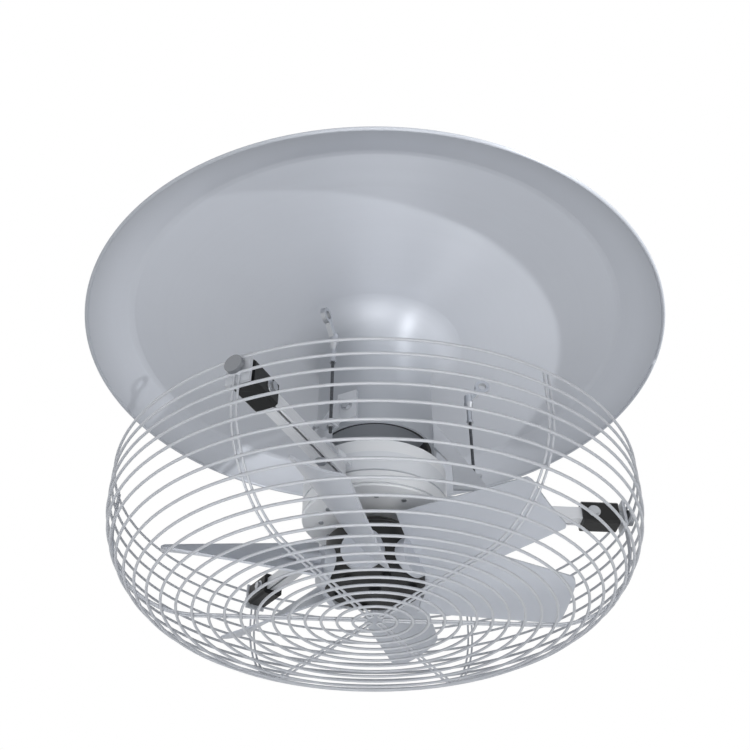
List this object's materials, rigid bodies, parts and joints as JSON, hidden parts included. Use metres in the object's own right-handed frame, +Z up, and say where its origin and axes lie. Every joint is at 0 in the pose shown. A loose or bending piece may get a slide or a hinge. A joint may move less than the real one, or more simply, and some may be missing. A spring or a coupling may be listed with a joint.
{
  "type": "vertical circulation fan",
  "caption": "Ceiling-hung vertical circulation fan: a pitched-blade impeller in a round wire bowl guard blows up the neck of a wide flared disc that spreads the air sideways.",
  "frame": {"origin": "on the motor's axis, at the lowest point of the guard, where the fan stands when it is set down", "axes": "+Z up along the motor's axis towards the deflector, +X along the first guard arm"},
  "size_m": [0.7748, 0.7748, 0.4152],
  "materials": {
    "deflector_sheet": "satin light grey coating",
    "motor_casing": "satin light grey casting",
    "fastener_steel": "zinc plated",
    "dark_fastener": "black oxide",
    "shaft_steel": "ground",
    "core_iron": "laminated",
    "winding_copper": "varnished copper wire",
    "seal_rubber": "matt",
    "gland_plastic": "matt",
    "hub_plastic": "matt black moulding",
    "blade_plastic": "satin grey moulding",
    "arm_channel": "satin extrusion",
    "clamp_plastic": "matt black moulding",
    "bracket_sheet": "satin light grey",
    "guard_wire": "satin grey coating",
    "stay_steel": "zinc plated"
  },
  "bodies": {
    "frame": {"arm_1": "arm_channel", "arm_2": "arm_channel", "arm_3": "arm_channel", "arm_ear_bolts": "fastener_steel", "arm_foot_bolts": "fastener_steel", "bracket_leg_1": "bracket_sheet", "bracket_leg_2": "bracket_sheet", "bracket_leg_3": "bracket_sheet", "cable_gland": "gland_plastic", "clamp_block_1": "clamp_plastic", "clamp_block_2": "clamp_plastic", "clamp_block_3": "clamp_plastic", "clamp_bolts": "fastener_steel", "deflector": "deflector_sheet", "eye_nut_1": "stay_steel", "eye_nut_2": "stay_steel", "eye_nut_3": "stay_steel", "guard_clip_1": "bracket_sheet", "guard_clip_2": "bracket_sheet", "guard_clip_3": "bracket_sheet", "guard_floor_rings": "guard_wire", "guard_ribs": "guard_wire", "guard_screws": "fastener_steel", "guard_wall_rings": "guard_wire", "lower_bearing_outer_ring": "shaft_steel", "lower_end_shield": "motor_casing", "lower_winding": "winding_copper", "motor_shell": "motor_casing", "neck_ring": "dark_fastener", "neck_screws": "fastener_steel", "shaft_seal": "seal_rubber", "shield_screws": "fastener_steel", "stator_core": "core_iron", "stay_bush_1": "stay_steel", "stay_bush_2": "stay_steel", "stay_bush_3": "stay_steel", "stay_nuts": "fastener_steel", "stay_rod_1": "stay_steel", "stay_rod_2": "stay_steel", "stay_rod_3": "stay_steel", "upper_bearing_outer_ring": "shaft_steel", "upper_end_shield": "motor_casing", "upper_winding": "winding_copper"},
    "impeller": {"motor_shaft": "shaft_steel", "shaft_key": "shaft_steel", "rotor_core": "core_iron", "lower_bearing_inner_ring": "shaft_steel", "upper_bearing_inner_ring": "shaft_steel", "hub_lower_half": "hub_plastic", "hub_upper_half": "hub_plastic", "hub_bolts": "dark_fastener", "end_washer": "dark_fastener", "end_screw": "dark_fastener", "blade_1": "blade_plastic", "blade_2": "blade_plastic", "blade_3": "blade_plastic", "blade_4": "blade_plastic", "blade_5": "blade_plastic", "blade_6": "blade_plastic"}
  },
  "joints": [
    {"name": "fan_spin", "type": "hinge", "parent": "frame", "child": "impeller", "pos_m": [0, 0, 0.06], "axis": [0, 0, 1], "continuous": true}
  ]
}
